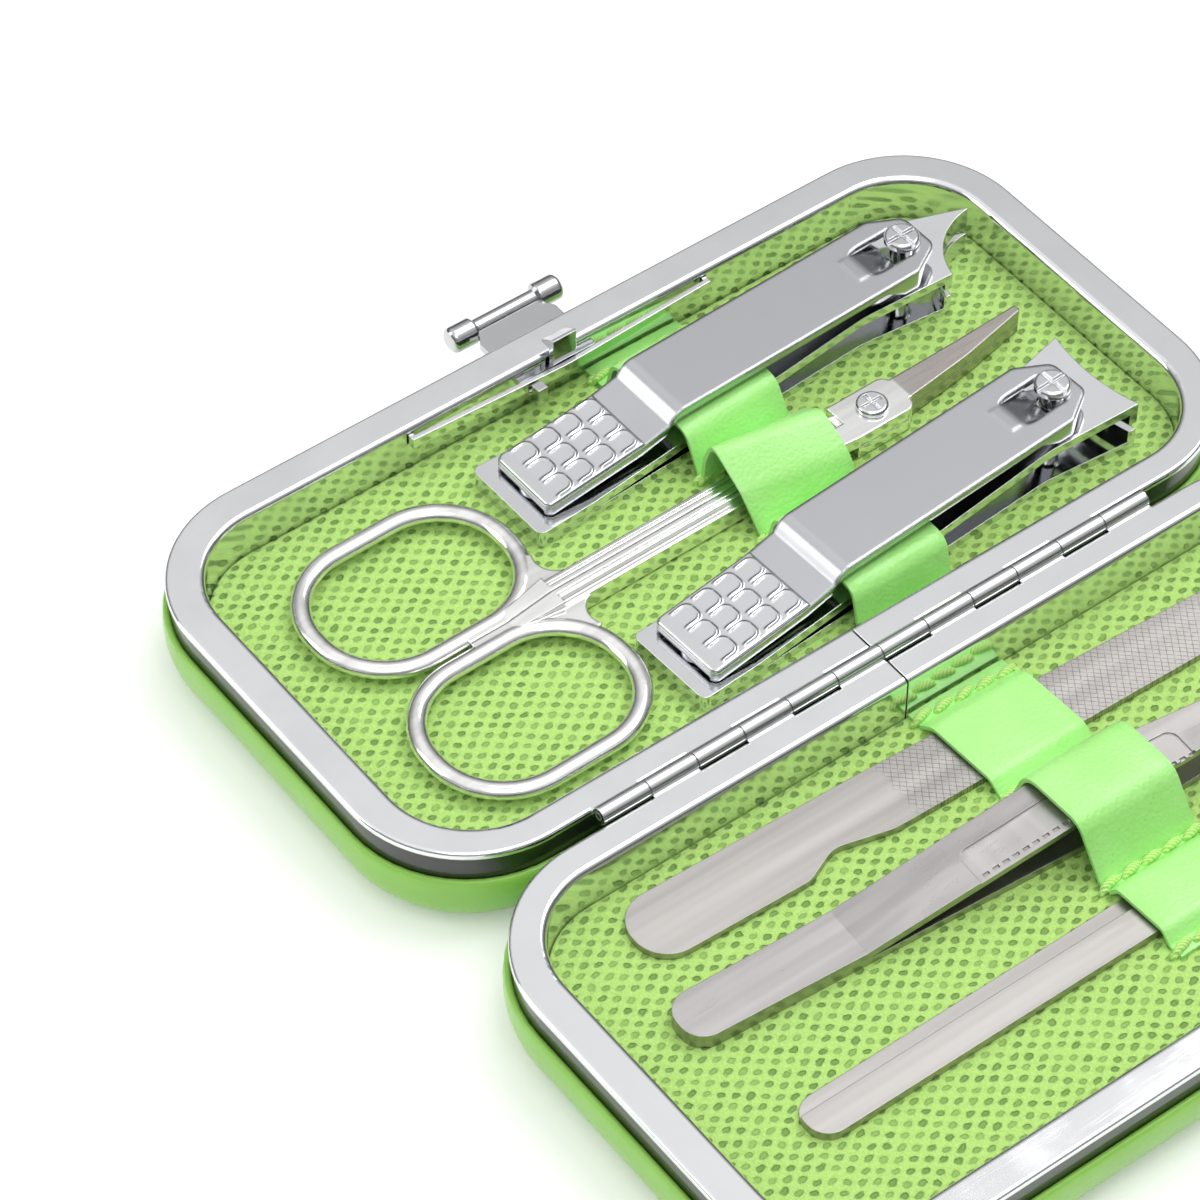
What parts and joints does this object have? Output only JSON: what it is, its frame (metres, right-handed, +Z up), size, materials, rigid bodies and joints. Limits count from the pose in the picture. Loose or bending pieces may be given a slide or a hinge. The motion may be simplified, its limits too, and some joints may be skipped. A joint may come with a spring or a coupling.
{
  "type": "manicure set case",
  "caption": "Hinged manicure set case lying open: chromed frames, padded green covers, push-bar clasp, and straps holding nail clippers, scissors, file, tweezers and a cuticle pusher.",
  "frame": {"origin": "centre of the bounding box at the underside, case lying open on a table", "axes": "+X along the hinge, +Y from the hinge to the half with the clasp, +Z up"},
  "size_m": [0.1152, 0.1308, 0.0163],
  "materials": {
    "chromed_sheet": "bright plated",
    "black_rim": "glossy",
    "green_cover": "glossy leathercloth",
    "green_lining": "dimpled",
    "green_strap": "fine grain",
    "spring_steel": "satin",
    "bright_steel": "polished",
    "brushed_steel": "brushed"
  },
  "bodies": {
    "base": {"base_frame": "chromed_sheet", "base_shell": "black_rim", "base_cover": "green_cover", "base_lining": "green_lining", "base_strap": "green_strap", "hinge_pin": "chromed_sheet", "clasp_spring": "spring_steel"},
    "lid": {"lid_frame": "chromed_sheet", "lid_shell": "black_rim", "lid_cover": "green_cover", "lid_lining": "green_lining", "lid_strap": "green_strap"},
    "clasp": {"clasp_slide": "chromed_sheet", "clasp_button": "chromed_sheet"},
    "large_clipper": {"large_lower_arm": "bright_steel", "large_pin": "bright_steel"},
    "large_jaw": {"large_upper_arm": "bright_steel", "large_rivet": "bright_steel"},
    "large_lever": {"large_lever": "bright_steel"},
    "small_clipper": {"small_lower_arm": "bright_steel", "small_pin": "bright_steel"},
    "small_jaw": {"small_upper_arm": "bright_steel", "small_rivet": "bright_steel"},
    "small_lever": {"small_lever": "bright_steel"},
    "scissors": {"scissors_blade_a": "brushed_steel", "scissors_screw": "bright_steel"},
    "scissors_half": {"scissors_blade_b": "brushed_steel"},
    "file": {"nail_file": "brushed_steel"},
    "tweezers": {"tweezers_lower_leg": "brushed_steel"},
    "tweezers_leg": {"tweezers_upper_leg": "brushed_steel"},
    "pusher": {"cuticle_pusher": "brushed_steel"}
  },
  "joints": [
    {"name": "lid_hinge", "type": "hinge", "parent": "base", "child": "lid", "pos_m": [0, -0.00355, 0.01255], "axis": [-1, 0, 0], "range_deg": [0, 180]},
    {"name": "clasp_press", "type": "slide", "parent": "base", "child": "clasp", "axis": [0, -1, 0], "range_m": [0, 0.002], "stiffness_N_per_m": 300, "deforming": ["clasp_spring"]},
    {"name": "large_draw", "type": "slide", "parent": "base", "child": "large_clipper", "axis": [0.2588, 0, 0.9659], "range_m": [0, 0.15], "deforming": ["base_strap"]},
    {"name": "large_flex", "type": "hinge", "parent": "large_clipper", "child": "large_jaw", "pos_m": [-0.0088, 0.04056, 0.0078], "axis": [-0.014, 0.9999, 0], "range_deg": [0, 0.9], "stiffness_Nm_per_rad": 3},
    {"name": "large_lift", "type": "hinge", "parent": "large_clipper", "child": "large_lever", "pos_m": [0.0397, 0.04124, 0.015], "axis": [-0.014, 0.9999, 0], "range_deg": [0, 24]},
    {"name": "small_draw", "type": "slide", "parent": "base", "child": "small_clipper", "axis": [0.2588, 0, 0.9659], "range_m": [0, 0.15]},
    {"name": "small_flex", "type": "hinge", "parent": "small_clipper", "child": "small_jaw", "pos_m": [-0.00921, 0.011, 0.0078], "axis": [-0.0471, 0.9989, 0], "range_deg": [0, 0.9], "stiffness_Nm_per_rad": 3},
    {"name": "small_lift", "type": "hinge", "parent": "small_clipper", "child": "small_lever", "pos_m": [0.03823, 0.01324, 0.015], "axis": [-0.0471, 0.9989, 0], "range_deg": [0, 24]},
    {"name": "scissors_draw", "type": "slide", "parent": "base", "child": "scissors", "axis": [-0.7071, 0, 0.7071], "range_m": [0, 0.15]},
    {"name": "scissors_open", "type": "hinge", "parent": "scissors", "child": "scissors_half", "pos_m": [0.02389, 0.02681, 0.0066], "axis": [0, 0, 1], "range_deg": [0, 3]},
    {"name": "file_draw", "type": "slide", "parent": "lid", "child": "file", "axis": [-0.7071, 0, 0.7071], "range_m": [0, 0.15]},
    {"name": "tweezers_draw", "type": "slide", "parent": "lid", "child": "tweezers", "axis": [-0.7071, 0, 0.7071], "range_m": [0, 0.15], "deforming": ["lid_strap"]},
    {"name": "tweezers_squeeze", "type": "hinge", "parent": "tweezers", "child": "tweezers_leg", "pos_m": [-0.02403, -0.02849, 0.0076], "axis": [0.0593, 0.9982, 0], "range_deg": [0, 1.6], "stiffness_Nm_per_rad": 0.8},
    {"name": "pusher_draw", "type": "slide", "parent": "lid", "child": "pusher", "axis": [-0.7071, 0, 0.7071], "range_m": [0, 0.15]}
  ]
}
